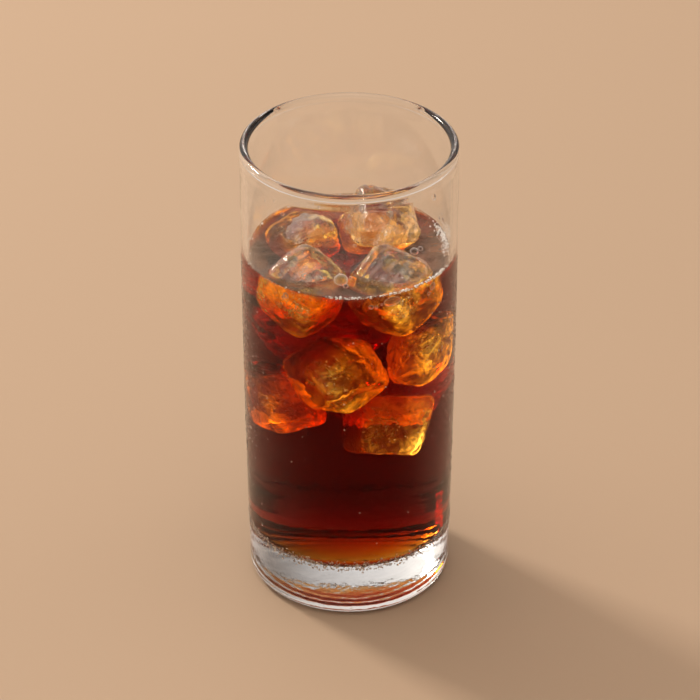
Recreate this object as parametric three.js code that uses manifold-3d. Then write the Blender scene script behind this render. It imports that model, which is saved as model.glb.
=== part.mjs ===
// Iced americano in a tall straight glass. The glass has a thick clear base and a
// rounded rim, black coffee fills it to about three quarters, and four melting ice
// cubes stand up through the surface. Millimetres, +Z up. The origin is the middle
// of the flat ring that the glass stands on.

import * as THREE from 'three';
import { mergeVertices } from 'three/addons/utils/BufferGeometryUtils.js';
import Module from 'manifold-3d';

// Glass: overall size, and how far the side draws in from the rim to the foot
const GLASS_HEIGHT = 150;
const RIM_RADIUS = 32.5;
const FOOT_RADIUS = 31.2;
const DRAW_POWER = 2.2;
const WALL = 2.0;
const RIM_BEAD_RADIUS = 1.15;
const RIM_BEAD_DEPTH = 1.9;

// Glass: the thick base, its rounded corners and the hollow under it
const BASE_THICKNESS = 17;
const FOOT_CORNER_RADIUS = 3.5;
const FLOOR_CORNER_RADIUS = 3.5;
const UNDER_HOLLOW_RADIUS = 21.5;
const UNDER_HOLLOW_DEPTH = 1.0;

// Coffee: its level, the rim of liquid that climbs the wall, and the gap that
// neighbouring solids keep
const DRINK_LEVEL = 114.2;
const MENISCUS_RISE = 1.3;
const MENISCUS_REACH = 1.3;
const GAP = 0.3;

// Ice: how square a cube is, the hollow in one of its faces, how much it tapers and
// how wavy melting has left it
const ICE_SQUARENESS = 4.6;
const ICE_HOLLOW_DEPTH = 2.0;
const ICE_HOLLOW_SPREAD = 0.6;
const ICE_TAPER = 0.05;
const ICE_WAVE = 0.3;

// Each cube: centre, turn in degrees about X, then Y, then Z, and its three sides
const ICE_CUBES = {
  ice_back_left: { centre: [-14.2, 12.4, 105.8], turn: [8, -10, -50], sides: [17.6, 18, 20] },
  ice_back_right: { centre: [8.8, 12.8, 113], turn: [16, 20, 14], sides: [20, 20, 22] },
  ice_front_left: { centre: [-13, -12.2, 107.4], turn: [22, -16, 44], sides: [19.2, 19.2, 20] },
  ice_front_right: { centre: [12.3, -12.2, 107.6], turn: [26, 8, -33], sides: [19.6, 19.6, 20] },
};

// Fineness of the faces
const ROUND_STEPS = 64;
const SIDE_STEPS = 6;
const CORNER_STEPS = 3;
const BEAD_STEPS = 6;
const MENISCUS_STEPS = 3;
const ICE_STEPS = 8;

const wasm = await Module();
wasm.setup();

const glassMaterial = new THREE.MeshStandardMaterial({
  name: 'clear_glass', color: 0xe9eef0, roughness: 0.03, metalness: 0,
});
const drinkMaterial = new THREE.MeshStandardMaterial({
  name: 'black_coffee', color: 0x4a1405, roughness: 0.05, metalness: 0,
});
const iceMaterial = new THREE.MeshStandardMaterial({
  name: 'clear_ice', color: 0xd9b48a, roughness: 0.08, metalness: 0,
});

/** Outer radius of the glass at a height: widest at the rim, drawn in at the foot. */
function outerRadius(z) {
  return RIM_RADIUS - (RIM_RADIUS - FOOT_RADIUS) * (1 - z / GLASS_HEIGHT) ** DRAW_POWER;
}

/** Inner radius of the glass at a height. */
function innerRadius(z) {
  return outerRadius(z) - WALL;
}

/** Profile points [radius, height] on a round corner, from one angle to another. */
function arc(radius, height, size, fromDegrees, toDegrees, steps) {
  return Array.from({ length: steps + 1 }, (_, i) => {
    const angle = THREE.MathUtils.degToRad(fromDegrees + ((toDegrees - fromDegrees) * i) / steps);
    return [radius + size * Math.cos(angle), height + size * Math.sin(angle)];
  });
}

/** Profile points [radius, height] up or down a wall whose radius is a function. */
function wall(radiusAt, from, to, steps) {
  return Array.from({ length: steps + 1 }, (_, i) => {
    const z = from + ((to - from) * i) / steps;
    return [radiusAt(z), z];
  });
}

/** Closed solid turned about Z from a profile that starts and ends on the axis. */
function turned(profile) {
  const points = profile.map(([radius, z]) => new THREE.Vector2(radius, z));
  const geometry = new THREE.LatheGeometry(points, ROUND_STEPS);
  geometry.rotateX(Math.PI / 2);
  return geometry;
}

/** Merges a geometry's shared corners and turns it into a solid for cutting. */
function solidOf(geometry) {
  const bare = geometry.clone();
  bare.deleteAttribute('normal');
  bare.deleteAttribute('uv');
  const merged = mergeVertices(bare, 1e-5);
  return new wasm.Manifold(new wasm.Mesh({
    numProp: 3,
    vertProperties: new Float32Array(merged.attributes.position.array),
    triVerts: new Uint32Array(merged.index.array),
  }));
}

/** Turns a cut solid back into a geometry. */
function geometryOf(solid) {
  const mesh = solid.getMesh();
  const geometry = new THREE.BufferGeometry();
  geometry.setAttribute('position', new THREE.BufferAttribute(mesh.vertProperties, 3));
  geometry.setIndex(new THREE.BufferAttribute(mesh.triVerts, 1));
  geometry.computeVertexNormals();
  return geometry;
}

/** The glass: foot, outer wall, round rim, inner wall and the floor of the hollow. */
function glassGeometry() {
  const footCentre = outerRadius(FOOT_CORNER_RADIUS) - FOOT_CORNER_RADIUS;
  const beadTop = GLASS_HEIGHT - RIM_BEAD_RADIUS;
  const beadFoot = beadTop - RIM_BEAD_DEPTH;
  const floorCorner = BASE_THICKNESS + FLOOR_CORNER_RADIUS;
  const floorCentre = innerRadius(floorCorner) - FLOOR_CORNER_RADIUS;
  return turned([
    [0, UNDER_HOLLOW_DEPTH],
    [UNDER_HOLLOW_RADIUS / 2, UNDER_HOLLOW_DEPTH * 0.75],
    [UNDER_HOLLOW_RADIUS, 0],
    ...arc(footCentre, FOOT_CORNER_RADIUS, FOOT_CORNER_RADIUS, -90, 0, CORNER_STEPS),
    ...wall(outerRadius, floorCorner, beadFoot, SIDE_STEPS),
    ...arc(RIM_RADIUS - RIM_BEAD_RADIUS, beadTop, RIM_BEAD_RADIUS, 0, 180, BEAD_STEPS),
    ...wall(innerRadius, beadFoot, floorCorner + 1, SIDE_STEPS),
    ...arc(floorCentre, floorCorner, FLOOR_CORNER_RADIUS, 0, -90, CORNER_STEPS),
    [0, BASE_THICKNESS],
  ]);
}

/** Height of the coffee's surface at a distance from the wall. */
function surfaceHeight(fromWall) {
  return DRINK_LEVEL + MENISCUS_RISE * Math.exp(-fromWall / MENISCUS_REACH);
}

/** The coffee before the ice is cut out of it. */
function coffeeGeometry() {
  const floor = BASE_THICKNESS + GAP;
  const corner = floor + FLOOR_CORNER_RADIUS;
  const radiusAt = (z) => innerRadius(z) - GAP;
  const edge = radiusAt(DRINK_LEVEL);
  const meniscus = Array.from({ length: MENISCUS_STEPS + 1 }, (_, i) => {
    const fromWall = 3 * MENISCUS_REACH * (i / MENISCUS_STEPS) ** 1.5;
    return [edge - fromWall, surfaceHeight(fromWall)];
  });
  return turned([
    [0, floor],
    ...arc(radiusAt(corner) - FLOOR_CORNER_RADIUS, corner, FLOOR_CORNER_RADIUS, -90, 0, CORNER_STEPS),
    ...wall(radiusAt, corner + 1, DRINK_LEVEL, SIDE_STEPS),
    ...meniscus,
    [0, DRINK_LEVEL],
  ]);
}

/** Crowds a cube's grid lines towards its edges, where the rounding is. */
function crowd(t) {
  return (t + Math.sin((t * Math.PI) / 2)) / 2;
}

/**
 * An ice cube: a box rounded into a superellipsoid, tapered, with a hollow sunk in
 * its lower face and three crossed pairs of sine waves over the whole of it. Grown
 * by a margin all round, the same shape cuts the coffee.
 */
function iceGeometry({ centre, turn, sides }, order, margin = 0) {
  const half = sides.map((side) => side / 2 + margin);
  const box = new THREE.BoxGeometry(2, 2, 2, ICE_STEPS, ICE_STEPS, ICE_STEPS);
  const position = box.attributes.position;
  const point = new THREE.Vector3();
  const outward = new THREE.Vector3();
  for (let i = 0; i < position.count; i += 1) {
    point.fromBufferAttribute(position, i);
    point.set(crowd(point.x), crowd(point.y), crowd(point.z));
    const reach = point.toArray().reduce((sum, t) => sum + Math.abs(t) ** ICE_SQUARENESS, 0);
    point.multiplyScalar(reach ** (-1 / ICE_SQUARENESS));
    const spread = 1 + ICE_TAPER * point.z;
    const underneath = Math.max(-point.z, 0) ** 6;
    point.x *= spread;
    point.y *= spread;
    outward.copy(point).normalize();
    point.set(point.x * half[0], point.y * half[1], point.z * half[2]);

    const hollowRadius = (ICE_HOLLOW_SPREAD * (half[0] + half[1])) / 2;
    const fromMiddle = (point.x ** 2 + point.y ** 2) / hollowRadius ** 2;
    point.z += ICE_HOLLOW_DEPTH * Math.exp(-fromMiddle) * underneath;

    const along = point.toArray();
    let wave = 0;
    for (let k = 0; k < 3; k += 1) {
      const pitch = 0.2 + 0.07 * k;
      const phase = 2.4 * k + 1.7 * order;
      wave += Math.sin(pitch * along[k] + phase) * Math.sin(pitch * along[(k + 1) % 3] + 1.3 * phase);
    }
    point.addScaledVector(outward, ICE_WAVE * wave);
    position.setXYZ(i, point.x, point.y, point.z);
  }
  const [x, y, z] = turn.map(THREE.MathUtils.degToRad);
  box.applyMatrix4(new THREE.Matrix4().makeRotationFromEuler(new THREE.Euler(x, y, z, 'ZYX')));
  box.translate(...centre);
  return box;
}

/** The coffee with room for each cube, a gap wider than the cube all round. */
function drinkGeometry() {
  const cut = Object.values(ICE_CUBES).reduce(
    (coffee, cube, order) => coffee.subtract(solidOf(iceGeometry(cube, order, GAP))),
    solidOf(coffeeGeometry()),
  );
  return geometryOf(cut);
}

/** A named mesh in the group. */
function addPiece(group, name, geometry, material) {
  const mesh = new THREE.Mesh(geometry, material);
  mesh.name = name;
  group.add(mesh);
}

const group = new THREE.Group();
group.name = 'iced_americano';
addPiece(group, 'glass', glassGeometry(), glassMaterial);
addPiece(group, 'drink', drinkGeometry(), drinkMaterial);
Object.entries(ICE_CUBES).forEach(([name, cube], order) => {
  addPiece(group, name, iceGeometry(cube, order), iceMaterial);
});

export default group;
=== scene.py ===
"""An iced americano in a tall clear glass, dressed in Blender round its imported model.

Every shape is worked out with numpy in millimetres, in the model's own frame (+Z up,
origin in the middle of the foot), and is scaled to metres when its mesh is made.
"""

import logging
import math
from dataclasses import dataclass, field
from enum import Enum
from typing import Any, Callable, Sequence

import bmesh
import bpy
import numpy as np
from mathutils import Euler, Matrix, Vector


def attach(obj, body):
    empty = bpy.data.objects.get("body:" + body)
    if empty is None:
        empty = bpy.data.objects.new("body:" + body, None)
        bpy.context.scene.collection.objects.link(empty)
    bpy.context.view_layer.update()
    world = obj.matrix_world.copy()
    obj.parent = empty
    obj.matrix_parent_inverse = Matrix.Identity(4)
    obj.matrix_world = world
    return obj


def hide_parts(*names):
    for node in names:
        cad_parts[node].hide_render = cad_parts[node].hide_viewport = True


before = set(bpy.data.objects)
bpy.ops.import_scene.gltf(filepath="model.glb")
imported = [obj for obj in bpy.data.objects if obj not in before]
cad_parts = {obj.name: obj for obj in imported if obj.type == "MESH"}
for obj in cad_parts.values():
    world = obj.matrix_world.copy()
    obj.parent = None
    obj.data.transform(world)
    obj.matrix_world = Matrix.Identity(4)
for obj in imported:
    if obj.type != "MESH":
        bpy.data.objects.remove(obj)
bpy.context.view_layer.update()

LOG = logging.getLogger("iced_americano")
MM = 0.001
WHITE = (1.0, 1.0, 1.0)
BLACK = (0.0, 0.0, 0.0)
Array = np.ndarray
Pair = tuple[float, float]
Triple = tuple[float, float, float]


class Slot(Enum):
    """The record's material slots."""

    GLASS = "glass"
    COFFEE = "coffee"
    ICE = "ice"


# Shader maths


def by_math(operation: str, swapped: bool = False) -> Callable[["Value", Any], "Value"]:
    """A method that joins a value and another number by a Math node.

    Args:
        operation: The node's operation.
        swapped: True if the other number comes first.

    Returns:
        The method.
    """

    def method(value: "Value", other: Any) -> "Value":
        """The value of the new node."""
        first, second = (other, value) if swapped else (value, other)
        made = value.nodes.add("ShaderNodeMath", {"operation": operation}, {0: first, 1: second})
        return Value(value.nodes, made.outputs[0])

    return method


class Value:
    """A number socket whose arithmetic adds Math nodes to its material."""

    __add__ = by_math("ADD")
    __sub__ = by_math("SUBTRACT")
    __rsub__ = by_math("SUBTRACT", swapped=True)
    __mul__ = by_math("MULTIPLY")
    __pow__ = by_math("POWER")

    def __init__(self, nodes: "Nodes", socket: Any) -> None:
        """Wraps a socket.

        Args:
            nodes: The material's node maker.
            socket: An output socket that carries a number.
        """
        self.nodes = nodes
        self.socket = socket

    def between(self, low: float, high: float) -> "Value":
        """0 below low, 1 above high, and a smooth step from one to the other."""
        made = self.nodes.add(
            "ShaderNodeMapRange",
            {"interpolation_type": "SMOOTHSTEP"},
            {"Value": self, "From Min": low, "From Max": high},
        )
        return Value(self.nodes, made.outputs["Result"])


@dataclass(frozen=True)
class Pattern:
    """Noise over the Object coordinates, cut off below and above two of its levels."""

    scale: float
    detail: float
    low: float
    high: float
    distortion: float = 0.0
    roughness: float = 0.5


class Nodes:
    """The node maker of one material or of the world."""

    def __init__(self, name: str, surround: bool = False) -> None:
        """Starts an empty node tree.

        Args:
            name: The name of the material or world.
            surround: True for the world.
        """
        self.material = (bpy.data.worlds if surround else bpy.data.materials).new(name)
        self.material.use_nodes = True
        self.tree = self.material.node_tree
        self.tree.nodes.clear()
        kind = "ShaderNodeOutputWorld" if surround else "ShaderNodeOutputMaterial"
        self.end = self.tree.nodes.new(kind)

    def add(
        self,
        kind: str,
        settings: dict[str, Any] | None = None,
        inputs: dict[Any, Any] | None = None,
    ) -> bpy.types.Node:
        """Adds one node.

        Args:
            kind: The node's type name.
            settings: Its properties.
            inputs: The value or link of each socket, by name or number.

        Returns:
            The node.
        """
        node = self.tree.nodes.new(kind)
        for key, value in (settings or {}).items():
            setattr(node, key, value)
        for key, value in (inputs or {}).items():
            self.join(node.inputs[key], value)
        return node

    def join(self, socket: Any, value: Any) -> None:
        """Links a value or an output to a socket, or sets the socket to a number."""
        if isinstance(value, Value):
            self.tree.links.new(value.socket, socket)
        elif isinstance(value, bpy.types.NodeSocket):
            self.tree.links.new(value, socket)
        elif isinstance(value, (tuple, list)) and len(value) == 3 and socket.type == "RGBA":
            socket.default_value = (*value, 1.0)
        else:
            socket.default_value = value

    def place(self) -> Any:
        """The Object coordinates, in metres."""
        return self.add("ShaderNodeTexCoord").outputs["Object"]

    def height(self) -> Value:
        """The height above the table, in metres."""
        split = self.add("ShaderNodeSeparateXYZ", None, {0: self.place()})
        return Value(self, split.outputs["Z"])

    def radius(self) -> Value:
        """The distance from the glass's axis, in metres."""
        split = self.add("ShaderNodeSeparateXYZ", None, {0: self.place()})
        x, y = (Value(self, split.outputs[name]) for name in ("X", "Y"))
        return (x * x + y * y) ** 0.5

    def dimples(self, scale: float) -> Value:
        """Smooth round hollows, so many to a metre, as the distance from their middles."""
        settings = {"feature": "SMOOTH_F1"}
        inputs = {"Vector": self.place(), "Scale": scale, "Smoothness": 0.5}
        made = self.add("ShaderNodeTexVoronoi", settings, inputs)
        return Value(self, made.outputs["Distance"])

    def noise(self, scale: float, detail: float, **inputs: float) -> Value:
        """Noise over the Object coordinates.

        Args:
            scale: Cycles of noise in a metre.
            detail: Its octaves.
            inputs: Any other socket of the node, by name.

        Returns:
            The noise, from 0 to 1.
        """
        values = {"Vector": self.place(), "Scale": scale, "Detail": detail, **inputs}
        return Value(self, self.add("ShaderNodeTexNoise", None, values).outputs["Fac"])

    def pattern(self, look: Pattern) -> Value:
        """A pattern: 0 below its low level, 1 above its high one."""
        inputs = {"Distortion": look.distortion, "Roughness": look.roughness}
        return self.noise(look.scale, look.detail, **inputs).between(look.low, look.high)

    def attribute(self, name: str) -> Value:
        """A number that the mesh carries."""
        made = self.add("ShaderNodeAttribute", {"attribute_name": name})
        return Value(self, made.outputs["Fac"])

    def bump(self, height: Value, strength: float, depth: float) -> Any:
        """A Bump node's normal, of a height that spans a depth in metres."""
        inputs = {"Height": height, "Strength": strength, "Distance": depth}
        return self.add("ShaderNodeBump", None, inputs).outputs["Normal"]

    def mix_colour(self, amount: Any, first: Any, second: Any) -> Any:
        """A colour between two colours."""
        inputs = {"Factor": amount, 6: first, 7: second}
        return self.add("ShaderNodeMix", {"data_type": "RGBA"}, inputs).outputs[2]

    def principled(self, **inputs: Any) -> Any:
        """A Principled BSDF's output; a socket is named with _ for each space."""
        values = {key.replace("_", " "): value for key, value in inputs.items()}
        return self.add("ShaderNodeBsdfPrincipled", None, values).outputs[0]

    def clear(self) -> Any:
        """A Transparent BSDF's output, for light that goes straight on."""
        return self.add("ShaderNodeBsdfTransparent", None, {0: WHITE}).outputs[0]

    def mix(self, amount: Any, first: Any, second: Any) -> Any:
        """A Mix Shader's output: first where amount is 0, second where it is 1."""
        return self.add("ShaderNodeMixShader", None, {0: amount, 1: first, 2: second}).outputs[0]

    def finish(self, surface: Any, volume: Any = None) -> Any:
        """Joins the surface and the volume to the output.

        Returns:
            The finished material.
        """
        self.join(self.end.inputs["Surface"], surface)
        if volume is not None:
            self.join(self.end.inputs["Volume"], volume)
        return self.material


# Finishes: heights and depths in metres, scales in cycles to a metre


@dataclass(frozen=True)
class GlassFinish:
    """Clear soda-lime glass, with the faint waviness of a pressed base."""

    ior: float = 1.5
    filled_ior: float = 1.42
    tint: Triple = (0.99, 0.995, 0.995)
    filled: Pair = (0.018, 0.113)
    filled_edge: float = 0.004
    filled_shine: float = 0.08
    wet_shine: float = 0.04
    smudges: Pattern = Pattern(60.0, 4.0, 0.55, 0.8)
    smudge_roughness: float = 0.03
    ripple_scale: float = 90.0
    fine_ripple_scale: float = 420.0
    ripple_depth: float = 0.0003
    ripple_strength: float = 0.6
    side_ripple: float = 0.1

    def material(self) -> bpy.types.Material:
        """The glass material: it shines at the rim and the base, less where it holds
        dark coffee, and hardly at all where the coffee wets it, because the two bend
        light nearly alike."""
        n = Nodes("clear_glass")
        foot, top = self.filled
        edge = self.filled_edge
        pressed = n.height().between(foot + edge / 4, foot - edge) * (1 - self.side_ripple)
        waves = n.noise(self.ripple_scale, 3.0, Distortion=1.2)
        ripple = (waves + n.noise(self.fine_ripple_scale, 2.0) * 0.25) * (pressed + self.side_ripple)
        smudge = n.pattern(self.smudges) * self.smudge_roughness
        dry, beside, wet = (
            n.principled(
                Base_Color=self.tint,
                Roughness=smudge,
                IOR=ior,
                Specular_Tint=(shine, shine, shine),
                Transmission_Weight=1.0,
                Normal=n.bump(ripple, self.ripple_strength, self.ripple_depth),
            )
            for shine, ior in (
                (1.0, self.ior),
                (self.filled_shine, self.filled_ior),
                (self.wet_shine, self.filled_ior),
            )
        )
        body = n.height().between(foot - edge, foot) * n.height().between(top + edge, top)
        return n.finish(n.mix(n.attribute("wet"), n.mix(body, dry, beside), wet))


@dataclass(frozen=True)
class CoffeeFinish:
    """Clear black coffee that swallows blue first, then green, and red last."""

    ior: float = 1.333
    top_shine: float = 0.35
    wet_shine: float = 0.05
    # Colour of the matt top layer: partly oil, partly a painted sheen.
    oil_and_sheen: Triple = (0.72, 0.3, 0.15)
    film_roughness: float = 0.25
    film_most: float = 0.42
    film_least: float = 0.1
    film_grows: Pair = (0.009, 0.026)
    swirls: Pattern = Pattern(48.0, 5.0, 0.4, 0.64, distortion=3.0)
    # Tint of the coffee's skin near the floor: darker towards the bottom.
    bottom_tint: Triple = (1.0, 0.9, 0.87)
    bottom_tint_heights: Pair = (0.0215, 0.0175)
    passes: Triple = (0.91, 0.62, 0.0)
    density: float = 480.0

    def material(self) -> bpy.types.Material:
        """The coffee material: refracting where it meets air or glass, and open
        towards the ice, with a patchy matt layer on top, partly oil and partly a painted
        sheen that grows towards the wall, and absorption all through."""
        n = Nodes("black_coffee")
        # Darker towards the bottom.
        shade = n.mix_colour(n.height().between(*self.bottom_tint_heights), WHITE, self.bottom_tint)
        top, side = (
            n.principled(
                Base_Color=shade,
                Roughness=0.0,
                IOR=self.ior,
                Specular_Tint=(shine, shine, shine),
                Transmission_Weight=1.0,
            )
            for shine in (self.top_shine, self.wet_shine)
        )
        # Matt top layer, partly oil and partly a painted sheen, strongest near the wall.
        film = n.principled(Base_Color=self.oil_and_sheen, Roughness=self.film_roughness)
        near_wall = n.radius().between(*self.film_grows) * self.film_most + self.film_least
        swirls = (n.pattern(self.swirls) * 0.9 + 0.1) * near_wall
        skin = n.mix(n.attribute("beside_glass"), n.mix(swirls, top, film), side)
        thins = {"Color": self.passes, "Density": self.density}
        swallow = n.add("ShaderNodeVolumeAbsorption", None, thins)
        surface = n.mix(n.attribute("beside_ice"), skin, n.clear())
        return n.finish(surface, swallow.outputs[0])


@dataclass(frozen=True)
class IceFinish:
    """Clear wet ice: strong refraction in air, faint under the coffee, with melted
    ripples, cloudy patches that in air are partly a painted sheen, and a painted glow,
    by emission, for the light that collects in the side away from the key light."""

    level: float
    ior_air: float = 1.31
    ior_sunk: float = 1.13
    cloud: Triple = (0.9, 0.8, 0.8)
    # Hues and strengths of the painted glow, which the ice emits though it is no lamp.
    orange: Triple = (1.0, 0.3, 0.02)
    gold: Triple = (1.0, 0.74, 0.12)
    cream: Triple = (1.0, 0.56, 0.24)
    painted_glow_sunk: float = 2.5
    painted_glow_air: float = 1.15
    sheen: float = 1.0
    veins: Pattern = Pattern(130.0, 7.0, 0.43, 0.62, distortion=1.6, roughness=0.68)
    flecks: Pattern = Pattern(560.0, 4.0, 0.55, 0.66, distortion=0.8)
    cracks: Pattern = Pattern(260.0, 3.0, 0.58, 0.68, distortion=3.0)
    strings: Pattern = Pattern(150.0, 2.0, 0.56, 0.62, distortion=1.0)
    patches: Pattern = Pattern(190.0, 7.0, 0.5, 0.7, distortion=1.4, roughness=0.6)
    scuffs: Pattern = Pattern(110.0, 3.0, 0.5, 0.75)
    spark_scale: float = 750.0
    dimple_scale: float = 150.0
    wave_scale: float = 140.0
    fine_wave_scale: float = 480.0
    gold_scale: float = 90.0
    gold_varies: float = 0.7
    bump_sunk: float = 0.0008
    bump_air: float = 0.0015
    milky_sunk: float = 0.04
    milky_and_sheen_air: float = 0.22

    def light(self, n: Nodes) -> Value:
        """How much painted glow shows in the ice: bright veins with flecks, cut by dark
        cracks, and strings of painted sparks, times the glow marked on the mesh."""
        shine = n.pattern(self.veins) * (n.pattern(self.flecks) * 0.8 + 0.5) + 0.04
        open_ice = 1.0 - n.pattern(self.cracks) * 0.8
        sparks = (1.0 - n.dimples(self.spark_scale).between(0.1, 0.3)) * n.pattern(self.strings)
        return n.attribute("glow") * (open_ice * shine + sparks)

    def body(self, n: Nodes, sunk: bool) -> Any:
        """A clear body of ice, with a painted glow as its emission.

        Args:
            n: The material's nodes.
            sunk: True for ice under the coffee.

        Returns:
            The shader's output.
        """
        waves = n.noise(self.wave_scale, 2.0) + n.noise(self.fine_wave_scale, 3.0) * 0.3
        waves = waves + n.dimples(self.dimple_scale) * 1.3
        varied = (n.noise(self.gold_scale, 2.0) - 0.5) * self.gold_varies
        amount = n.attribute("gold") + varied
        painted_glow_hue = n.mix_colour(amount, self.orange, self.gold) if sunk else self.cream
        return n.principled(
            Base_Color=WHITE,
            Roughness=n.pattern(self.scuffs) * 0.06 + 0.004,
            IOR=self.ior_sunk if sunk else self.ior_air,
            Transmission_Weight=1.0,
            Coat_Weight=0.0 if sunk else self.sheen,
            Coat_IOR=1.9,
            Coat_Roughness=0.04,
            Normal=n.bump(waves, 0.8, self.bump_sunk if sunk else self.bump_air),
            # Painted glow: orange to gold under the coffee, cream in air.
            Emission_Color=n.mix_colour(self.light(n), BLACK, painted_glow_hue),
            Emission_Strength=self.painted_glow_sunk if sunk else self.painted_glow_air,
        )

    def material(self) -> bpy.types.Material:
        """The ice material."""
        n = Nodes("clear_ice")
        under = n.height().between(self.level + 0.0002, self.level - 0.0002)
        milk = n.principled(Base_Color=self.cloud, Roughness=0.3)
        # Cloudy patches, stronger in air, where they are partly a painted sheen on the tops.
        milky = self.milky_and_sheen_air - under * (self.milky_and_sheen_air - self.milky_sunk)
        clear = n.mix(under, self.body(n, False), self.body(n, True))
        return n.finish(n.mix(n.pattern(self.patches) * milky, clear, milk))


@dataclass(frozen=True)
class FrostFinish:
    """White cracks and trapped air inside a cube: thin, broken and mostly clear."""

    white: Triple = (0.95, 0.92, 0.9)
    broken: Pattern = Pattern(700.0, 5.0, 0.46, 0.58, distortion=1.0)

    def material(self) -> bpy.types.Material:
        """The frost material."""
        n = Nodes("frost_in_ice")
        body = n.principled(Base_Color=self.white, Roughness=0.2)
        solid = n.pattern(self.broken) * 0.9 * n.attribute("middle")
        return n.finish(n.mix(solid, n.clear(), body))


@dataclass(frozen=True)
class FoamFinish:
    """Froth and trapped air so fine that it looks white and glitters, with a painted glow."""

    white: Triple = (0.97, 0.93, 0.88)
    # Strength of the painted glow.
    scattered: float = 0.2
    seen: Pattern = Pattern(1500.0, 2.0, 0.3, 0.6)

    def material(self) -> bpy.types.Material:
        """The foam material, with a painted glow, by emission, for the light that it scatters within.
        """
        n = Nodes("fine_foam")
        glitter = n.principled(
            Base_Color=self.white,
            Roughness=0.08,
            IOR=1.5,
            Transmission_Weight=0.3,
            Emission_Color=self.white,
            Emission_Strength=self.scattered,
        )
        return n.finish(n.mix(n.pattern(self.seen) * 0.5 + 0.5, n.clear(), glitter))


@dataclass(frozen=True)
class BubbleFinish:
    """A wet skin round air: clear in the middle, with a pale ring at its edge that is a painted glow.
    """

    tint: Triple = (1.0, 0.95, 0.9)
    pale: Triple = (0.95, 0.86, 0.78)
    specks: Pattern = Pattern(300.0, 2.0, 0.4, 0.9)

    def material(self) -> bpy.types.Material:
        """The bubble material."""
        n = Nodes("bubble_skin")
        edge = Value(n, n.add("ShaderNodeLayerWeight", None, {"Blend": 0.5}).outputs["Facing"])
        rough = n.pattern(self.specks) * 0.05
        wet = n.principled(
            Base_Color=self.tint, Roughness=rough, IOR=1.24, Transmission_Weight=1.0
        )
        # The ring: a painted glow where the skin is seen edge on.
        ring = n.principled(
            Base_Color=self.pale,
            Roughness=0.1,
            Emission_Color=self.pale,
            Emission_Strength=0.32,
        )
        return n.finish(n.mix(edge**1.5 * 0.85, wet, ring))


@dataclass(frozen=True)
class WaterFinish:
    """Beads of clear water, with a little milkiness where they crowd together."""

    pale: Triple = (0.85, 0.68, 0.54)
    specks: Pattern = Pattern(500.0, 2.0, 0.4, 0.9)
    crowds: Pattern = Pattern(800.0, 2.0, 0.3, 0.65)

    def material(self) -> bpy.types.Material:
        """The water material."""
        n = Nodes("water_beads")
        rough = n.pattern(self.specks) * 0.04
        water = n.principled(Base_Color=WHITE, Roughness=rough, IOR=1.33, Transmission_Weight=1.0)
        milk = n.principled(Base_Color=self.pale, Roughness=0.2)
        return n.finish(n.mix(n.pattern(self.crowds) * 0.7, water, milk))


@dataclass(frozen=True)
class FloorFinish:
    """A plain pale matt surface."""

    pale: Triple = (0.74, 0.52, 0.35)
    shade: Triple = (0.71, 0.495, 0.332)

    def material(self) -> bpy.types.Material:
        """The floor material."""
        n = Nodes("pale_floor")
        grain = n.bump(n.noise(400.0, 3.0), 0.1, 0.0002)
        colour = n.mix_colour(n.noise(3.0, 2.0), self.pale, self.shade)
        return n.finish(n.principled(Base_Color=colour, Roughness=0.75, Normal=grain))


# Surfaces on grids


@dataclass
class Surface:
    """Points in millimetres and faces of four corners."""

    points: Array
    faces: Array

    def flipped(self) -> "Surface":
        """The same surface facing the other way."""
        return Surface(self.points, self.faces[:, ::-1])

    @staticmethod
    def joined(surfaces: Sequence["Surface"]) -> "Surface":
        """Several surfaces as one, their corners numbered on."""
        counts = np.cumsum([0] + [len(s.points) for s in surfaces])
        faces = [s.faces + start for s, start in zip(surfaces, counts)]
        return Surface(np.concatenate([s.points for s in surfaces]), np.concatenate(faces))

    def copied(self, scales: Array, places: Array) -> "Surface":
        """Copies of this surface, scaled and moved.

        Args:
            scales: (copies, 3) factors.
            places: (copies, 3) positions.

        Returns:
            All copies as one surface.
        """
        points = self.points[None] * scales[:, None] + places[:, None]
        steps = np.arange(len(scales))[:, None, None] * len(self.points)
        return Surface(points.reshape(-1, 3), (self.faces[None] + steps).reshape(-1, 4))


def grid_faces(rows: int, columns: int, closed: bool) -> Array:
    """Faces of a grid of rows by columns, round on itself along a row if closed."""
    last = columns if closed else columns - 1
    i, j = np.meshgrid(np.arange(rows - 1), np.arange(last), indexing="ij")
    k = (j + 1) % columns
    corners = [i * columns + j, i * columns + k, (i + 1) * columns + k, (i + 1) * columns + j]
    return np.stack(corners, -1).reshape(-1, 4)


def turned(profile: Array, steps: int) -> Surface:
    """A profile turned about Z: each point (r, z) becomes the ring (r cos a, r sin a, z).

    Args:
        profile: (points, 2) radii and heights, from the foot of the axis outwards and
            up, so that faces point out.
        steps: Points round a ring.

    Returns:
        The turned surface.
    """
    angle = np.linspace(0, 2 * np.pi, steps, endpoint=False)
    radius, height = profile[:, :1], profile[:, 1:]
    ring = [radius * np.cos(angle), radius * np.sin(angle), height + 0 * angle]
    return Surface(np.stack(ring, -1).reshape(-1, 3), grid_faces(len(profile), steps, True))


def arc(centre: Pair, size: float, start: float, end: float, steps: int) -> Array:
    """Profile points on a round corner: centre + size (cos a, sin a), in degrees."""
    angle = np.radians(np.linspace(start, end, steps))
    return np.stack([centre[0] + size * np.cos(angle), centre[1] + size * np.sin(angle)], -1)


def ball(rows: int, columns: int) -> Surface:
    """A unit ball of rings: (sin b cos a, sin b sin a, -cos b), b from pole to pole."""
    b = np.linspace(0, np.pi, rows)
    return turned(np.stack([np.sin(b), -np.cos(b)], -1), columns)


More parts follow.
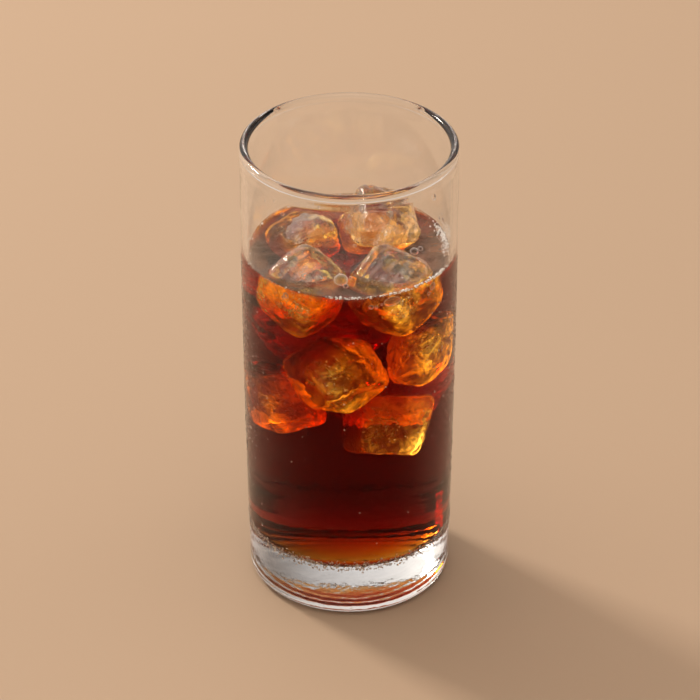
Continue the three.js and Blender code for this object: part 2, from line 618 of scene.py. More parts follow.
def box_grid(steps: int) -> Surface:
    """The six faces of the cube from -1 to 1, with grid lines crowded to its edges.

    A line at t moves to (t + sin(pi t / 2)) / 2.
    """
    t = np.linspace(-1, 1, steps + 1)
    t = (t + np.sin(t * np.pi / 2)) / 2
    u, v = np.meshgrid(t, t, indexing="ij")
    sides = []
    for axis in range(3):
        for sign in (-1, 1):
            point = [np.zeros_like(u)] * 3
            point[axis] = sign * np.ones_like(u)
            point[(axis + 1) % 3] = u
            point[(axis + 2) % 3] = v
            faces = grid_faces(steps + 1, steps + 1, False)
            side = Surface(np.stack(point, -1).reshape(-1, 3), faces)
            sides.append(side.flipped() if sign > 0 else side)
    return Surface.joined(sides)


def make_piece(
    name: str, surface: Surface, material: bpy.types.Material, merge: float = 1e-6
) -> Any:
    """A mesh object at the origin from a surface in millimetres.

    Args:
        name: The piece's name.
        surface: Its points and faces.
        material: Its finish.
        merge: How near two points are to become one, in metres, or 0 for none.

    Returns:
        The object, its doubles merged and its faces smooth.
    """
    mesh = bpy.data.meshes.new(name)
    mesh.from_pydata((surface.points * MM).tolist(), [], surface.faces.tolist())
    if merge:
        work = bmesh.new()
        work.from_mesh(mesh)
        bmesh.ops.remove_doubles(work, verts=work.verts, dist=merge)
        work.to_mesh(mesh)
        work.free()
    mesh.materials.append(material)
    mesh.shade_smooth()
    piece = bpy.data.objects.new(name, mesh)
    bpy.context.scene.collection.objects.link(piece)
    return piece


def read_places(items: Any, name: str) -> Array:
    """A place of each corner or face of a mesh, in millimetres, as (items, 3)."""
    places = np.empty(len(items) * 3)
    items.foreach_get(name, places)
    return places.reshape(-1, 3) / MM


def face_middles(mesh: Any) -> Array:
    """The middles of a mesh's faces."""
    return read_places(mesh.polygons, "center")


def mark_mesh(mesh: Any, name: str, marks: Array, domain: str) -> None:
    """Stores a number for each corner (POINT) or face (FACE) as an attribute."""
    attribute = mesh.attributes.new(name, "FLOAT", domain)
    attribute.data.foreach_set("value", marks.astype(np.float32))


def settle(piece: Any, slot: Slot, *nodes: str) -> None:
    """Puts a piece on the one body and hides the model's nodes that it stands for."""
    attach(piece, "root")
    if nodes:
        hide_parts(*nodes)
    LOG.info("%s: %d faces", piece.name, len(piece.data.polygons))


def sizes(draw: np.random.Generator, count: int, grades: tuple[float, float, int]) -> Array:
    """Many small sizes and a few large ones.

    Args:
        draw: The random generator.
        count: How many.
        grades: The least size, what the largest has more, and the power k, for
            least + more r^k with r drawn evenly from 0 to 1.

    Returns:
        The sizes.
    """
    least, more, power = grades
    return least + more * draw.random(count) ** power


def bearings(
    draw: np.random.Generator,
    count: int,
    crowds: Sequence[Pair],
    all_round: float,
) -> Array:
    """Bearings in degrees: some anywhere, the others crowded round a few bearings.

    Args:
        draw: The random generator.
        count: How many.
        crowds: The middle and the spread of each crowd.
        all_round: The share that lies anywhere.

    Returns:
        The bearings.
    """
    crowd = np.array(crowds)[draw.integers(len(crowds), size=count)]
    return np.where(
        draw.random(count) < all_round,
        draw.uniform(-180, 180, count),
        draw.normal(crowd[:, 0], crowd[:, 1]),
    )


def along_wall(template: Surface, beads: Array, radius: Array, shift: float, depth: Array) -> Surface:
    """Balls that are bent to follow a round wall.

    A ball's point (x, y, z) goes to bearing + x wide / radius, radius + shift + y depth
    and height + z high.

    Args:
        template: The ball.
        beads: (copies, 4) bearing in degrees, height, half width and half height.
        radius: Radius of the wall at each copy.
        shift: How far the middles are outside the wall.
        depth: How far each copy reaches out from its middle, or in where negative.

    Returns:
        All copies as one surface.
    """
    x, y, z = (template.points[:, k][None] for k in range(3))
    bearing, height, wide, high = (beads[:, k : k + 1] for k in range(4))
    angle = np.radians(bearing) + x * wide / radius[:, None]
    away = radius[:, None] + shift + y * depth[:, None]
    points = np.stack([away * np.cos(angle), away * np.sin(angle), height + z * high], -1)
    steps = np.arange(len(beads))[:, None, None] * len(template.points)
    return Surface(points.reshape(-1, 3), (template.faces[None] + steps).reshape(-1, 4))


# The glass


@dataclass
class Tumbler:
    """The straight glass with its thick base. Sizes in millimetres."""

    height: float = 150.0
    rim_radius: float = 32.5
    foot_radius: float = 31.2
    draw_power: float = 2.2
    wall: float = 2.0
    bead_radius: float = 1.35
    bead_turn: float = 30.0
    bead_end: float = 222.0
    neck_depth: float = 0.18
    neck_spread: float = 1.0
    base_thickness: float = 17.0
    foot_corner: float = 3.5
    floor_corner: float = 3.5
    hollow_radius: float = 21.5
    hollow_depth: float = 1.0
    ring_pitch: float = 3.7
    ring_depth: float = 0.15
    fill_level: float = 115.0
    round_steps: int = 256
    side_steps: int = 40
    corner_steps: int = 14

    def outer(self, z: Any) -> Any:
        """Outer radius at a height: rim - (rim - foot) (1 - z / height) ** power."""
        share = np.clip(1 - np.asarray(z) / self.height, 0, 1) ** self.draw_power
        return self.rim_radius - (self.rim_radius - self.foot_radius) * share

    def inner(self, z: Any) -> Any:
        """Inner radius at a height."""
        return self.outer(z) - self.wall

    def side(self, radius: Callable[[Any], Any], start: float, end: float, steps: int) -> Array:
        """Profile points up or down a side whose radius is a function of height."""
        z = np.linspace(start, end, steps)
        return np.stack([radius(z), z], -1)

    def profile(self) -> Array:
        """The closed outline: hollow foot, side, round rim, inner side and floor.

        The foot's hollow is depth (1 - (r / radius)^2), plus rings of
        ring_depth (1 - cos(2 pi r / pitch)) / 2 that grow from half its radius. Under
        the rim's bead the side draws in by depth exp(-((bead foot - z) / spread)^2).
        """
        foot_centre = float(self.outer(self.foot_corner)) - self.foot_corner
        r = np.linspace(0, foot_centre - 0.2, 3 * self.side_steps)
        rings = self.ring_depth * (1 - np.cos(2 * np.pi * r / self.ring_pitch)) / 2
        rings = rings * np.clip(r / self.hollow_radius * 2 - 1, 0, 1)
        dome = self.hollow_depth * np.maximum(1 - (r / self.hollow_radius) ** 2, 0)
        hollow = np.stack([r, dome + rings], -1)
        bead_middle = self.height - self.bead_radius
        bead_foot = bead_middle - self.bead_radius * math.sin(math.radians(self.bead_turn))
        corner = self.base_thickness + self.floor_corner
        corner_centre = float(self.inner(corner)) - self.floor_corner
        floor = np.linspace(corner_centre, 0, 16)[1:]
        bead_centre = self.rim_radius - self.bead_radius

        def neck(z: Array) -> Array:
            """Outer radius close under the bead."""
            below = (bead_foot - z) / self.neck_spread
            return self.outer(z) - self.neck_depth * np.exp(-(below**2))

        start, end = -self.bead_turn, self.bead_end
        steps, corners = self.side_steps, self.corner_steps
        return np.concatenate(
            [
                hollow,
                arc((foot_centre, self.foot_corner), self.foot_corner, -90, 0, corners),
                self.side(self.outer, corner, bead_foot - 4, steps),
                self.side(neck, bead_foot - 3.5, bead_foot - 0.2, 16),
                arc((bead_centre, bead_middle), self.bead_radius, start, end, steps),
                self.side(self.inner, bead_foot - 1, corner + 1, steps),
                arc((corner_centre, corner), self.floor_corner, 0, -90, corners),
                np.stack([floor, 0 * floor + self.base_thickness], -1),
            ]
        )

    def build(self) -> None:
        """Builds and dresses the glass."""
        surface = turned(self.profile(), self.round_steps)
        piece = make_piece("tumbler", surface, GlassFinish().material())
        middles = face_middles(piece.data)
        inside = np.hypot(middles[:, 0], middles[:, 1]) < self.inner(middles[:, 2]) + 0.3
        filled = (middles[:, 2] > self.base_thickness - 0.5) & (middles[:, 2] < self.fill_level)
        mark_mesh(piece.data, "wet", inside & filled, "FACE")
        settle(piece, Slot.GLASS, "glass")


# The ice


@dataclass
class IceCube:
    """A melting ice cube. Sizes in millimetres, turns in degrees about X, Y, Z."""

    name: str
    centre: Triple
    turn: Triple
    sides: Triple
    order: int
    squareness: float = 4.6
    hollow_depth: float = 2.0
    hollow_spread: float = 0.6
    taper: float = 0.05
    wave: float = 0.3
    fine_wave: float = 0.11
    # Painted glow: its strength, its gold hue, and how it fades in the middle of each side.
    painted_glow_amount: float = 0.5
    gold: float = 0.5
    dimple: float = 0.68
    dimple_dark: float = 0.88
    node: str | None = None

    def rotation(self) -> Array:
        """The turning matrix."""
        return np.array(Euler([math.radians(a) for a in self.turn], "XYZ").to_matrix())

    def surface(self, steps: int, margin: float = 0.0) -> Surface:
        """The cube's surface.

        The box grid is divided by (|x|^p + |y|^p + |z|^p)^(1/p), widened towards its
        top, stretched to the half sides, hollowed below by a bell curve, and moved
        along its normal by three products of two long sine waves and three of short.

        Args:
            steps: Faces along an edge.
            margin: How far the surface is grown all round.

        Returns:
            The surface in place.
        """
        half = np.array(self.sides) / 2 + margin
        grid = box_grid(steps)
        power = self.squareness
        unit = grid.points / (np.abs(grid.points) ** power).sum(1)[:, None] ** (1 / power)
        spread = 1 + self.taper * unit[:, 2]
        underneath = np.maximum(-unit[:, 2], 0) ** 6
        unit = unit * np.stack([spread, spread, np.ones_like(spread)], -1)
        outward = unit / np.linalg.norm(unit, axis=1)[:, None]
        point = unit * half
        reach = (self.hollow_spread * (half[0] + half[1]) / 2) ** 2
        bell = np.exp(-(point[:, 0] ** 2 + point[:, 1] ** 2) / reach)
        point[:, 2] += self.hollow_depth * bell * underneath
        wave = np.zeros(len(point))
        for k in range(3):
            pitch = 0.2 + 0.07 * k
            phase = 2.4 * k + 1.7 * self.order
            one, other = point[:, k], point[:, (k + 1) % 3]
            wave += self.wave * np.sin(pitch * one + phase) * np.sin(pitch * other + 1.3 * phase)
            short = 5 * pitch
            wave += self.fine_wave * np.sin(short * one + phase) * np.sin(short * other - phase)
        point = point + outward * wave[:, None]
        return Surface(point @ self.rotation().T + np.array(self.centre), grid.faces)

    def local(self, points: Array) -> Array:
        """Points in the cube's own turned frame, as shares of its half sides."""
        return (points - np.array(self.centre)) @ self.rotation() / (np.array(self.sides) / 2)

    def placed(self, shares: Array) -> Array:
        """The other way round: where shares of the half sides lie, in millimetres."""
        return (shares * np.array(self.sides) / 2) @ self.rotation().T + np.array(self.centre)

    def distance(self, points: Array) -> Array:
        """Roughly how far points are outside the cube, in millimetres."""
        share = (np.abs(self.local(points)) ** self.squareness).sum(-1) ** (1 / self.squareness)
        return (share - 1) * float(np.mean(self.sides)) / 2

    def glow(self, points: Array, away: Array) -> Array:
        """How much painted glow each point of the skin gets, from 0 to 1.

        It grows with the cosine to a direction away from the key light, and fades in the
        middle of each side, exp(-(r / dimple)^4) for the distance r from the middle.

        Args:
            points: (points, 3) places on the cube.
            away: A unit vector that points away from the key light.

        Returns:
            The share of each point.
        """
        arm = points - np.array(self.centre)
        facing = (arm / np.linalg.norm(arm, axis=1)[:, None]) @ away
        across = np.sort(np.abs(self.local(points)), axis=1)
        r = np.hypot(across[:, 0], across[:, 1])
        shaded = 1 - self.dimple_dark * np.exp(-((r / self.dimple) ** 4))
        return self.painted_glow_amount * np.clip(0.42 + 0.7 * facing, 0.05, 1) * shaded


def floating_cubes() -> list[IceCube]:
    """The cubes that stand up through the surface, with the strength and gold hue of the painted glow
    in each.
    """
    rows = [
        ("ice_back_left", (-14.2, 12.4, 105.8), (8, -10, -50), (17.6, 18, 20), 0.55, 0.6),
        ("ice_back_right", (8.8, 12.8, 113), (16, 20, 14), (20, 20, 22), 0.75, 0.5),
        ("ice_front_left", (-13, -12.2, 107.4), (22, -16, 44), (19.2, 19.2, 20), 0.22, 0.9),
        ("ice_front_right", (12.3, -12.2, 107.6), (26, 8, -33), (19.6, 19.6, 20), 0.62, 0.75),
    ]
    return [
        IceCube(
            name + "_clear", centre, turn, sides, order, painted_glow_amount=painted_glow_amount, gold=gold, node=name
        )
        for order, (name, centre, turn, sides, painted_glow_amount, gold) in enumerate(rows)
    ]


def sunk_cubes() -> list[IceCube]:
    """The cubes that are wholly under the coffee, with the strength and gold hue of the painted glow
    in each.
    """
    rows = [
        ("sunk_ice_middle", (-3.2, -15.8, 82), (-12, -24, 42), (19.5, 19.5, 19.5), 0.58, 0.65),
        ("sunk_ice_right", (18.4, -7.2, 85.5), (4, 6, -22), (14.5, 17.5, 19), 1.15, 0.85),
        ("sunk_ice_left", (-16.3, -1.5, 65.3), (-14, -14, 24), (17.5, 18, 19), 0.95, 1.0),
        ("sunk_ice_low", (10.5, -13.3, 62.5), (-20, 16, 18), (20, 19.5, 20), 0.34, 0.6),
        ("sunk_ice_behind", (-5.0, 17.0, 84.0), (15, -12, -22), (18.5, 17, 20), 0.5, 0.8),
        ("sunk_ice_deep", (7.0, 14.5, 61.5), (-8, 18, 12), (19, 18, 19), 0.5, 0.8),
    ]
    return [
        IceCube(
            name, centre, turn, sides, 4 + order, squareness=6.0, painted_glow_amount=painted_glow_amount, gold=gold
        )
        for order, (name, centre, turn, sides, painted_glow_amount, gold) in enumerate(rows)
    ]


@dataclass
class Ice:
    """All the ice and what is frozen into it."""

    level: float
    floating: list[IceCube] = field(default_factory=floating_cubes)
    sunk: list[IceCube] = field(default_factory=sunk_cubes)
    steps: int = 40
    # Each cube's painted glow is strongest on the side this way.
    away_from_key: Triple = (0.75, -0.35, -0.45)
    cracks_each: int = 7
    specks_each: int = 55
    seed: int = 11

    def cracks(self, cube: IceCube, draw: np.random.Generator) -> tuple[Surface, Array]:
        """Curved sheets inside a cube: each is a square grid (u, v) bent to
        0.3 sin(3 u + phase) sin(2 v), turned at random and fading to its edge.

        Args:
            cube: The cube.
            draw: The random generator.

        Returns:
            The sheets, and how solid each of their corners is.
        """
        n = 14
        u, v = np.meshgrid(np.linspace(-1, 1, n), np.linspace(-1, 1, n), indexing="ij")
        sheets, middles = [], []
        for _ in range(self.cracks_each):
            bend = 0.3 * np.sin(3 * u + draw.uniform(0, 6)) * np.sin(2 * v)
            size = draw.uniform(0.16, 0.42, 2)
            flat = np.stack([u * size[0], v * size[1], bend * size.min()], -1).reshape(-1, 3)
            turn = np.array(Euler(draw.uniform(-3, 3, 3).tolist(), "XYZ").to_matrix())
            middle = draw.uniform(-0.45, 0.45, 3)
            middle[draw.integers(3)] *= 1.3
            sheets.append(Surface(cube.placed(flat @ turn.T + middle), grid_faces(n, n, False)))
            middles.append(np.clip(1.15 - np.hypot(u, v), 0, 1).reshape(-1))
        return Surface.joined(sheets), np.concatenate(middles)

    def build(self) -> None:
        """Builds and dresses every cube, and the cracks and fine bubbles in them."""
        finish = IceFinish(self.level * MM).material()
        draw = np.random.default_rng(self.seed)
        away = np.array(self.away_from_key) / np.linalg.norm(self.away_from_key)
        sheets, solid, specks = [], [], []
        for cube in self.floating + self.sunk:
            piece = make_piece(cube.name, cube.surface(self.steps), finish)
            points = read_places(piece.data.vertices, "co")
            # Painted glow: how bright each corner glows, and how gold.
            mark_mesh(piece.data, "glow", cube.glow(points, away), "POINT")
            mark_mesh(piece.data, "gold", np.full(len(points), cube.gold), "POINT")
            settle(piece, Slot.ICE, *([cube.node] if cube.node else []))
            sheet, middle = self.cracks(cube, draw)
            sheets.append(sheet)
            solid.append(middle)
            shares = np.clip(draw.normal(0, 0.3, (self.specks_each, 3)), -0.72, 0.72)
            size = draw.uniform(0.05, 0.2, (self.specks_each, 1)) * [1, 1, 1]
            specks.append(ball(5, 6).copied(size, cube.placed(shares)))
        frost = FrostFinish().material()
        cracks = make_piece("ice_cracks", Surface.joined(sheets), frost, merge=0.0)
        mark_mesh(cracks.data, "middle", np.concatenate(solid), "POINT")
        settle(cracks, Slot.ICE)
        air = make_piece("ice_air_specks", Surface.joined(specks), FoamFinish().material())
        settle(air, Slot.ICE)


# The coffee


@dataclass
class Coffee:
    """The drink up to its level, round the ice. Sizes in millimetres."""

    glass: Tumbler
    ice: Ice
    level: float = 114.2
    rise: float = 1.3
    reach: float = 1.3
    into_wall: float = 0.12
    ice_rise: float = 0.7
    ice_reach: float = 0.8
    beside: float = 0.06
    hollow_steps: int = 28
    sharp: float = 35.0
    near_wall: float = 0.1
    near_floor: float = 5.0
    near_ice: float = 2.5
    near_top: float = 0.1

    def surface_height(self, x: Array, y: Array) -> Array:
        """Height of the surface: the level, plus exp(-d / reach) for the distance d to
        the wall and to each cube, times how far the coffee climbs there."""
        from_wall = self.glass.inner(self.level) - np.hypot(x, y)
        height = self.level + self.rise * np.exp(-np.maximum(from_wall, 0) / self.reach)
        at_level = np.stack([x, y, 0 * x + self.level], -1)
        for cube in self.ice.floating:
            away = np.maximum(cube.distance(at_level), 0)
            height = height + self.ice_rise * np.exp(-away / self.ice_reach)
        return height

    def body(self) -> Surface:
        """The coffee before the ice is cut out: floor, side just inside the wall of
        the glass, and the surface as rings that crowd towards the wall."""
        glass = self.glass
        floor = glass.base_thickness - self.into_wall
        corner = floor + glass.floor_corner

        def edge(z: Any) -> Any:
            """Radius of the coffee's side."""
            return glass.inner(z) + self.into_wall

        centre = float(edge(corner)) - glass.floor_corner
        r = np.linspace(0, centre, 12)[:-1]
        rim = float(edge(self.level))
        top = self.level + self.rise
        below = np.concatenate(
            [
                np.stack([r, 0 * r + floor], -1),
                arc((centre, corner), glass.floor_corner, -90, 0, 12),
                glass.side(edge, corner + 1.5, top - 1, 40),
            ]
        )
        inwards = 1 - np.linspace(0, 1, 90) ** 1.6
        above = np.stack([rim * inwards, 0 * inwards + top], -1)
        surface = turned(np.concatenate([below, above]), glass.round_steps)
        first = len(below) * glass.round_steps
        x, y = surface.points[first:, 0], surface.points[first:, 1]
        surface.points[first:, 2] = self.surface_height(x, y)
        return surface

    def mark(self, mesh: Any) -> None:
        """Marks the faces on the walls of the ice's hollows, and those at the glass."""
        points = face_middles(mesh)
        radius = np.hypot(points[:, 0], points[:, 1])
        top = self.surface_height(points[:, 0], points[:, 1])
        at_wall = radius > self.glass.inner(points[:, 2]) - self.near_wall
        at_glass = at_wall | (points[:, 2] < self.glass.base_thickness + self.near_floor)
        nearest = np.full(len(points), np.inf)
        for cube in self.ice.floating + self.ice.sunk:
            nearest = np.minimum(nearest, np.abs(cube.distance(points)))
        at_ice = (nearest < self.near_ice) & ~at_glass & (points[:, 2] < top - self.near_top)
        mark_mesh(mesh, "beside_ice", at_ice, "FACE")
        mark_mesh(mesh, "beside_glass", at_glass, "FACE")

    def cut(self, piece: Any, finish: bpy.types.Material) -> Any:
        """Cuts the floating cubes out of the coffee.

        Args:
            piece: The uncut coffee.
            finish: Its material, which the cutters need too.

        Returns:
            The cut mesh.
        """
        cutters = []
        for cube in self.ice.floating:
            cutter = make_piece("cutter", cube.surface(self.hollow_steps, self.beside), finish)
            cut = piece.modifiers.new("cut", "BOOLEAN")
            cut.operation = "DIFFERENCE"
            cut.solver = "EXACT"
            cut.object = cutter
            cutters.append(cutter)
        shapes = bpy.context.evaluated_depsgraph_get()
        mesh = bpy.data.meshes.new_from_object(piece.evaluated_get(shapes))
        piece.modifiers.clear()
        for cutter in cutters:
            bpy.data.objects.remove(cutter)
        return mesh

    def build(self) -> None:
        """Builds and dresses the coffee: the floating cubes are cut out of it, and the
        sunk ones are hollows in it."""
        finish = CoffeeFinish().material()
        piece = make_piece("coffee", self.body(), finish)
        work = bmesh.new()
        work.from_mesh(self.cut(piece, finish))
        for cube in self.ice.sunk:
            hollow = cube.surface(self.hollow_steps, self.beside).flipped()
            corners = [work.verts.new(p) for p in (hollow.points * MM).tolist()]
            for face in hollow.faces.tolist():
                work.faces.new([corners[i] for i in face])
        bmesh.ops.remove_doubles(work, verts=work.verts, dist=1e-7)
        mesh = bpy.data.meshes.new("coffee")
        work.to_mesh(mesh)
        work.free()
        mesh.materials.append(finish)
        mesh.shade_smooth()
        mesh.set_sharp_from_angle(angle=math.radians(self.sharp))
        piece.data = mesh
        self.mark(mesh)
        settle(piece, Slot.COFFEE, "drink")


# Froth and water beads: sizes as the least, what the largest has more, and a power


@dataclass
class Froth:
    """Bubbles on and in the coffee. Sizes in millimetres, bearings in degrees."""

    glass: Tumbler
    coffee: Coffee
    seed: int = 5
    line_count: int = 430
    line_sizes: tuple[float, float, int] = (0.1, 0.27, 3)
    line_crowds: tuple[Pair, ...] = ((-92, 5.625), (-60, 10), (-34, 6.25), (12, 8.75))
    line_all_round: float = 0.22
    foot_count: int = 240
    foot_sizes: tuple[float, float, int] = (0.07, 0.17, 2)
    cluster: Pair = (-8, 24)
    cluster_count: int = 22
    cluster_sizes: Pair = (0.3, 1.0)
    glitter_count: int = 90
    glitter_sizes: Pair = (0.12, 0.4)
    pressed_depth: float = 0.55
    domes: tuple[Triple, ...] = (
        (-2.4, -19.3, 2.1),
        (19.4, -2.2, 1.3),
        (-1.0, -21.9, 0.8),
        (0.4, -17.4, 0.55),
        (21.3, -0.4, 0.8),
        (-20.8, 19.4, 0.7),
        (1.6, 1.2, 0.6),
        (15.5, 24.2, 0.7),
    )
    clinging: tuple[tuple[float, float, float, float], ...] = (
        (-66, 112.6, 2.6, 1.6),
        (-127, 112.6, 0.9, 0.9),
        (-129, 111.6, 0.5, 0.5),
        (-38, 112.4, 1.1, 1.3),
        (-41, 110.6, 0.55, 0.6),
        (-78, 111.8, 0.75, 0.7),
        (-75, 111.6, 0.5, 0.5),
        (-72, 112.2, 0.4, 0.4),
    )

    def line(self, draw: np.random.Generator) -> Surface:
        """The string of fine bubbles where the coffee meets the glass."""
        bearing = bearings(draw, self.line_count, self.line_crowds, self.line_all_round)
        size = sizes(draw, self.line_count, self.line_sizes)
        top = self.coffee.level + self.coffee.rise
        radius = self.glass.inner(top) - size * 0.8 - np.abs(draw.normal(0, 0.28, self.line_count))
        height = top - 0.35 + draw.normal(0, 0.16, self.line_count) + size * 0.3
        return self.scattered(bearing, radius, height, size)

    def foot(self, draw: np.random.Generator) -> Surface:
        """Specks of air that cling along the lower edge of the coffee."""
        turn = draw.uniform(-np.pi / 2, 0, self.foot_count)
        corner = self.glass.floor_corner
        height = self.glass.base_thickness + corner + corner * np.sin(turn)
        radius = float(self.glass.inner(20.0)) - corner + corner * np.cos(turn)
        size = sizes(draw, self.foot_count, self.foot_sizes)
        bearing = draw.uniform(-180, 180, self.foot_count)
        return self.scattered(bearing, radius - 0.02, height, size)

    def glitter(self, draw: np.random.Generator) -> Surface:
        """Fine bubbles piled among the larger ones at the right-hand wall."""
        start, end = self.cluster
        bearing = draw.normal((start + end) / 2, (end - start) / 4, self.glitter_count)
        size = draw.uniform(*self.glitter_sizes, self.glitter_count)
        inwards = np.abs(draw.normal(0, 1.1, self.glitter_count)) + size
        radius = self.glass.inner(self.coffee.level) - inwards
        height = self.coffee.level + 0.9 + draw.uniform(0, 0.9, self.glitter_count)
        return self.scattered(bearing, radius, height, size)

    def crowd(self, draw: np.random.Generator) -> Surface:
        """The crowd of larger bubbles at the right-hand wall."""
        bearing = draw.uniform(*self.cluster, self.cluster_count)
        size = draw.uniform(*self.cluster_sizes, self.cluster_count)
        inwards = np.abs(draw.normal(0, 0.9, self.cluster_count)) + size
        radius = self.glass.inner(self.coffee.level) - inwards
        return self.scattered(bearing, radius, self.coffee.level + 0.6 + 0 * radius, size, 7, 12)

    @staticmethod
    def scattered(
        bearing: Array, radius: Array, height: Array, size: Array, rows: int = 5, columns: int = 6
    ) -> Surface:
        """Balls at bearings, radii and heights.

        Args:
            bearing: Degrees about Z from +X.
            radius: Distance of each from the axis.
            height: Height of each.
            size: Radius of each.
            rows: Rings of points of one ball.
            columns: Points round it.

        Returns:
            All balls as one surface.
        """
        angle = np.radians(bearing)
        places = np.stack([radius * np.cos(angle), radius * np.sin(angle), height], -1)
        return ball(rows, columns).copied(np.repeat(size[:, None], 3, 1), places)

    def domes_on_top(self) -> Surface:
        """Single large bubbles that float: balls sunk by a third."""
        rows = np.array(self.domes)
        height = self.coffee.surface_height(rows[:, 0], rows[:, 1]) + rows[:, 2] * 0.3
        places = np.stack([rows[:, 0], rows[:, 1], height], -1)
        scales = rows[:, 2:3] * [1, 1, 0.85]
        return ball(21, 32).copied(scales, places)

    def clinging_to_glass(self) -> Surface:
        """Bubbles pressed flat on the inside of the glass."""
        rows = np.array(self.clinging)
        radius = self.glass.inner(rows[:, 1])
        depth = np.full(len(rows), self.pressed_depth)
        return along_wall(ball(17, 28), rows, radius, -self.pressed_depth, depth).flipped()

    def build(self) -> None:
        """Builds and dresses the froth."""
        draw = np.random.default_rng(self.seed)
        fine = Surface.joined([self.line(draw), self.glitter(draw)])
        settle(make_piece("froth_line", fine, FoamFinish().material()), Slot.COFFEE)
        foot = self.foot(draw)
        round_ones = [self.crowd(draw), self.domes_on_top(), self.clinging_to_glass(), foot]
        large = make_piece("large_bubbles", Surface.joined(round_ones), BubbleFinish().material())
        settle(large, Slot.COFFEE)


@dataclass
class Condensation:
    """Beads of water on the cold outside, a few inside above the coffee, and on the
    ice. Sizes in millimetres, bearings in degrees."""

    glass: Tumbler
    seed: int = 23
    count: int = 4600
    bead_sizes: tuple[float, float, int] = (0.14, 0.22, 3)
    lowest: float = 20.0
    highest: float = 113.0
    crowds: tuple[Pair, ...] = ((180, 10), (0, 10), (183, 13.5), (-3, 13.5), (90, 27.5))
    all_round: float = 0.03
    share_of_runs: float = 0.025
    run_lengths: Pair = (3, 9)
    bead_lengths: Pair = (0.9, 1.3)
    hem_count: int = 2400
    hem_sizes: tuple[float, float, int] = (0.1, 0.3, 2)
    hem: Pair = (18.9, 0.9)
    proud: float = 0.6
    sunk: float = 0.02
    inside: tuple[Triple, ...] = (
        (30, 123.4, 1.2),
        (17, 118.6, 0.8),
        (15, 116.9, 0.5),
        (19, 120.3, 0.45),
        (12, 119.0, 0.4),
        (23, 118.0, 0.6),
        (140, 119.5, 0.5),
        (150, 122.0, 0.35),
    )
    on_ice: tuple[tuple[float, float, float, float], ...] = (
        (12.2, 7.1, 122.0, 1.3),
        (14.9, 6.4, 120.6, 0.5),
        (9.5, 5.2, 121.2, 0.4),
    )

    def on_wall(self, template: Surface, beads: Array, out: int) -> Surface:
        """Flattened beads on the wall of the glass.

        Args:
            template: The ball that each is made from.
            beads: (beads, 4) bearing, height, half width and half height.
            out: 1 for the outside of the wall, -1 for the inside.

        Returns:
            The beads.
        """
        radius = self.glass.outer(beads[:, 1]) if out > 0 else self.glass.inner(beads[:, 1])
        depth = self.proud * beads[:, 2] * out
        made = along_wall(template, beads, radius, -self.sunk * out, depth)
        return made.flipped() if out > 0 else made

    def build(self) -> None:
        """Builds and dresses all beads."""
        draw = np.random.default_rng(self.seed)
        fine, large = ball(5, 6), ball(13, 20)
        bearing = bearings(draw, self.count, self.crowds, self.all_round)
        height = self.lowest + (self.highest - self.lowest) * draw.beta(1.7, 1.15, self.count)
        size = sizes(draw, self.count, self.bead_sizes)
        runs = draw.random(self.count) < self.share_of_runs
        long = draw.uniform(*self.run_lengths, self.count)
        tall = size * np.where(runs, long, draw.uniform(*self.bead_lengths, self.count))
        outside = self.on_wall(fine, np.column_stack([bearing, height, size, tall]), 1)
        around = draw.uniform(-180, 180, self.hem_count)
        height = draw.normal(*self.hem, self.hem_count)
        size = sizes(draw, self.hem_count, self.hem_sizes)
        hem = self.on_wall(fine, np.column_stack([around, height, size, size]), 1)
        rows = np.array(self.inside)
        inside = self.on_wall(large, np.column_stack([rows, rows[:, 2] * 1.15]), -1)
        ice = np.array(self.on_ice)
        drops = large.copied(np.repeat(ice[:, 3:4], 3, 1) * [1, 1, 0.9], ice[:, :3])
        beads = Surface.joined([outside, drops])
        finish = WaterFinish().material()
        settle(make_piece("water_beads", beads, finish), Slot.GLASS)
        settle(make_piece("water_beads_low", hem, finish), Slot.GLASS)
        # The drops inside take the bubble finish, with its painted glow ring.
        settle(make_piece("drops_inside", inside, BubbleFinish().material()), Slot.GLASS)


# The studio


@dataclass(frozen=True)
class Zone:
    """A soft bright zone of the surround."""

    towards: Triple
    tightness: float
    strength: float
    colour: Triple


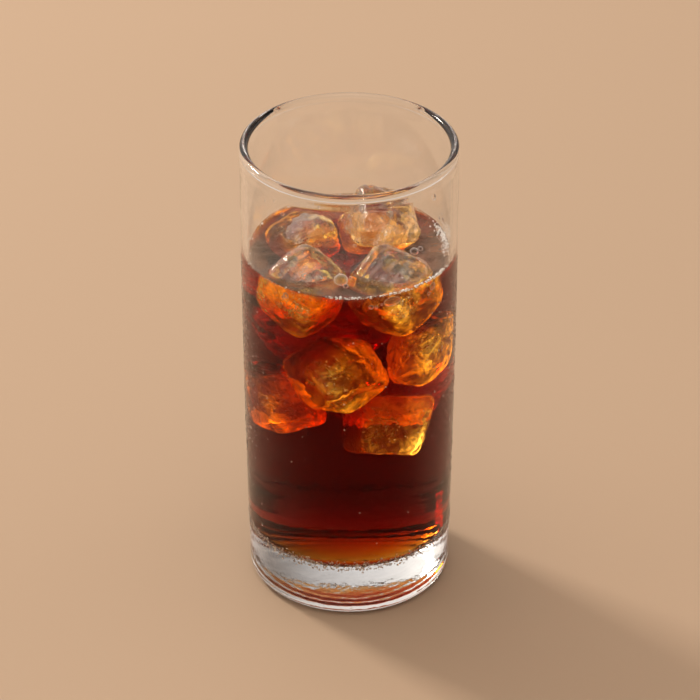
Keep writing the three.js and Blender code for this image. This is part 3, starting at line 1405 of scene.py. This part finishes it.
@dataclass
class Studio:
    """Floor, soft lights and the camera. Metres."""

    view_distance: float = 1.0382
    view_height: float = 0.07782
    view_down: float = 32.43
    lens: float = 174.857
    shift: float = 0.00107
    floor_radii: Pair = (0.02, 8.0)
    floor_rings: int = 40
    key_place: Triple = (-1.15, 1.0, 1.25)
    key_aim: Triple = (0.0, 0.0, 0.08)
    key_size: float = 0.3
    key_power: float = 14.5
    key_colour: Triple = (1.0, 0.94, 0.86)
    surround: Triple = (0.9, 0.76, 0.66)
    surround_strength: float = 0.1
    horizon: Zone = Zone((0.0, 0.0, 1.0), 8.0, 0.55, (1.0, 0.88, 0.78))
    backdrop: Triple = (0.62, 0.5, 0.4)
    bounces: int = 32
    zones: tuple[Zone, ...] = (
        Zone((-0.8, 0.7, 0.7), 14.0, 1.1, (1.0, 0.94, 0.86)),
        Zone((-0.1, 1.0, 0.6), 9.0, 0.5, (1.0, 0.96, 0.94)),
        Zone((-1.0, -0.1, 0.25), 22.0, 1.5, (1.0, 0.95, 0.88)),
        Zone((1.0, 0.2, 0.4), 16.0, 0.7, (1.0, 0.96, 0.92)),
        Zone((0.0, -1.0, 0.3), 4.0, 0.22, (1.0, 0.84, 0.7)),
        Zone((0.0, -0.1, 1.0), 16.0, 1.8, (1.0, 0.89, 0.78)),
    )

    def floor(self) -> None:
        """A wide round floor: rings of growing radius about the glass."""
        radius = np.append(0, np.geomspace(*self.floor_radii, self.floor_rings) / MM)
        rings = np.stack([radius, 0 * radius], -1)
        make_piece("floor", turned(rings, 96), FloorFinish().material())

    def key(self) -> None:
        """A square soft box behind on the left, which the camera doesn't see."""
        data = bpy.data.lights.new("key", "AREA")
        data.size = self.key_size
        data.energy = self.key_power
        data.color = self.key_colour
        lamp = bpy.data.objects.new("key", data)
        lamp.location = self.key_place
        lamp.rotation_mode = "QUATERNION"
        aim = Vector(self.key_aim) - Vector(self.key_place)
        lamp.rotation_quaternion = aim.to_track_quat("-Z", "Y")
        lamp.visible_camera = False
        bpy.context.scene.collection.objects.link(lamp)

    def world(self) -> None:
        """A dim even surround with soft bright zones: each adds its colour times
        exp(k (c - 1)) for the cosine c between the view and the zone's middle, and the
        band along the horizon adds its own times exp(-k c^2)."""
        n = Nodes("surround", surround=True)
        ahead = n.add("ShaderNodeTexCoord").outputs["Generated"]
        total = n.add("ShaderNodeBackground", None, {0: self.surround, 1: self.surround_strength})
        shader = total.outputs[0]
        for zone in (*self.zones, self.horizon):
            towards = tuple(Vector(zone.towards).normalized())
            ends = {0: ahead, 1: towards}
            dot = n.add("ShaderNodeVectorMath", {"operation": "DOT_PRODUCT"}, ends)
            cosine = Value(n, dot.outputs["Value"])
            if zone is self.horizon:
                power = cosine * cosine * -zone.tightness
            else:
                power = (cosine - 1.0) * zone.tightness
            glow = n.add("ShaderNodeMath", {"operation": "EXPONENT"}, {0: power})
            strength = Value(n, glow.outputs[0]) * zone.strength
            lit = n.add("ShaderNodeBackground", None, {0: zone.colour, 1: strength})
            shader = n.add("ShaderNodeAddShader", None, {0: shader, 1: lit.outputs[0]}).outputs[0]
        seen = n.add("ShaderNodeLightPath").outputs["Is Camera Ray"]
        plain = n.add("ShaderNodeBackground", None, {0: self.backdrop, 1: 1.0}).outputs[0]
        bpy.context.scene.world = n.finish(n.mix(seen, shader, plain))

    def camera(self) -> None:
        """The camera, looking down at the glass from the front."""
        data = bpy.data.cameras.new("camera")
        data.sensor_width = 36.0
        data.lens = self.lens
        data.shift_x = self.shift
        data.clip_end = 100.0
        camera = bpy.data.objects.new("camera", data)
        down = math.radians(self.view_down)
        ahead = Vector((0, math.cos(down), -math.sin(down)))
        camera.location = Vector((0, 0, self.view_height)) - self.view_distance * ahead
        camera.rotation_mode = "QUATERNION"
        camera.rotation_quaternion = ahead.to_track_quat("-Z", "Y")
        bpy.context.scene.collection.objects.link(camera)
        bpy.context.scene.camera = camera

    def build(self) -> None:
        """Sets up the whole studio."""
        self.camera()
        self.floor()
        self.world()
        self.key()
        scene = bpy.context.scene
        scene.view_settings.view_transform = "Standard"
        scene.cycles.max_bounces = self.bounces
        scene.cycles.transmission_bounces = self.bounces
        scene.cycles.glossy_bounces = self.bounces // 2
        scene.cycles.transparent_max_bounces = self.bounces


def main() -> None:
    """Builds the drink from the glass inwards, then the studio round it."""
    logging.basicConfig(level=logging.INFO, format="%(name)s %(message)s")
    glass = Tumbler()
    glass.build()
    ice = Ice(level=Coffee.level)
    coffee = Coffee(glass, ice)
    coffee.build()
    ice.build()
    Froth(glass, coffee).build()
    Condensation(glass).build()
    Studio().build()


if __name__ == "__main__":
    main()
